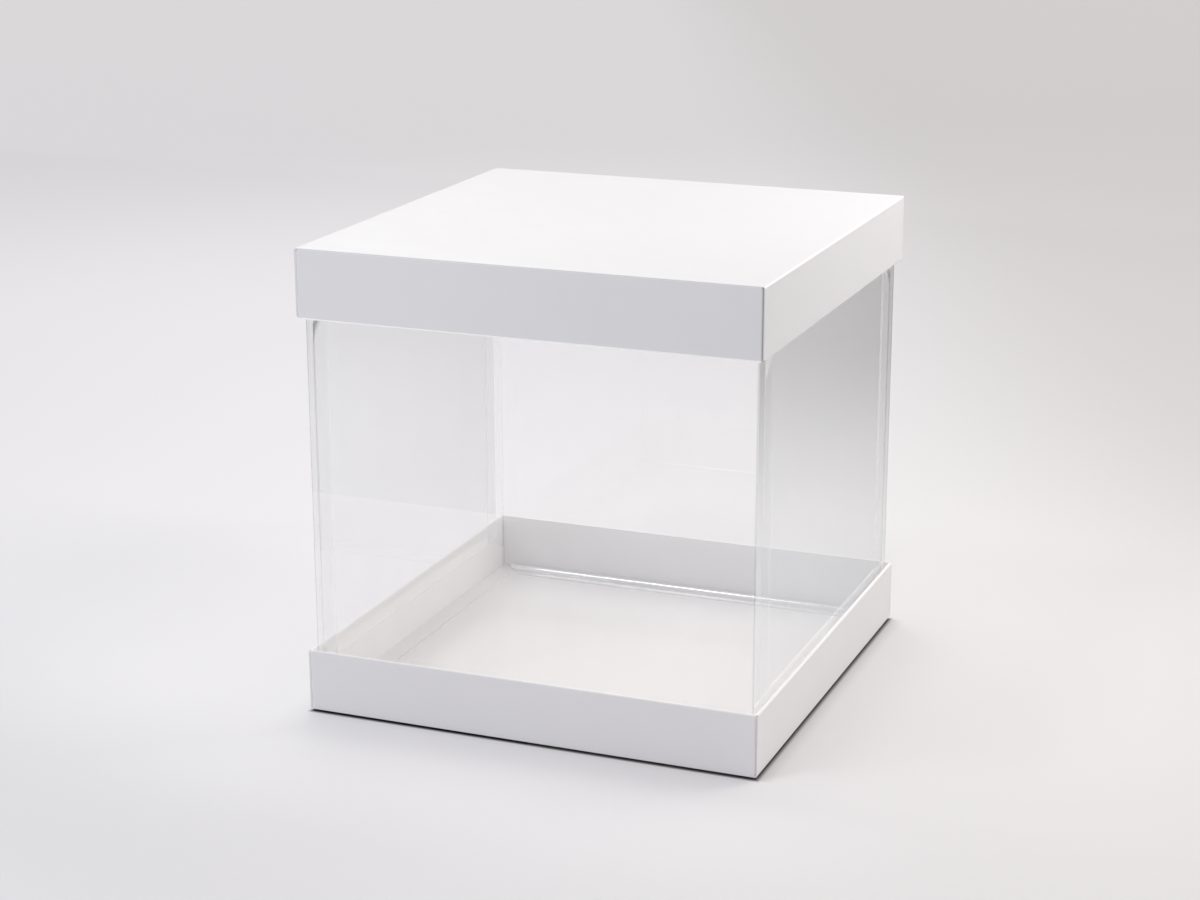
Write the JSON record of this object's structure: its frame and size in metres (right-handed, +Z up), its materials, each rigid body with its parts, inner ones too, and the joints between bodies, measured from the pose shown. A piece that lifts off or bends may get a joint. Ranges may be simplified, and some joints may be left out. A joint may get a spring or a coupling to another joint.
{
  "type": "cake box",
  "caption": "Tall see-through cake box: a white folded board tray and matching lift-off lid with a clear film sleeve standing between them.",
  "frame": {"origin": "middle of the tray's underside, on the surface that the box stands on", "axes": "+Z up, -Y towards the front sheet of the sleeve, +X towards the right side panel"},
  "size_m": [0.3, 0.3, 0.3],
  "materials": {
    "white_board": "white laminated board with a soft sheen",
    "clear_film": "clear glossy film",
    "clear_tape": "clear double-sided tape"
  },
  "bodies": {
    "tray": {"tray": "white_board"},
    "sleeve": {"front_wrap_sheet": "clear_film", "left_side_panel": "clear_film", "tape_front_left": "clear_tape", "tape_back_left": "clear_tape", "back_wrap_sheet": "clear_film", "right_side_panel": "clear_film", "tape_back_right": "clear_tape", "tape_front_right": "clear_tape"},
    "lid": {"lid": "white_board"}
  },
  "joints": [
    {"name": "sleeve_lift", "type": "slide", "parent": "tray", "child": "sleeve", "axis": [0, 0, 1], "range_m": [0, 0.1]},
    {"name": "lid_lift", "type": "slide", "parent": "sleeve", "child": "lid", "axis": [0, 0, 1], "range_m": [0, 0.1]}
  ]
}
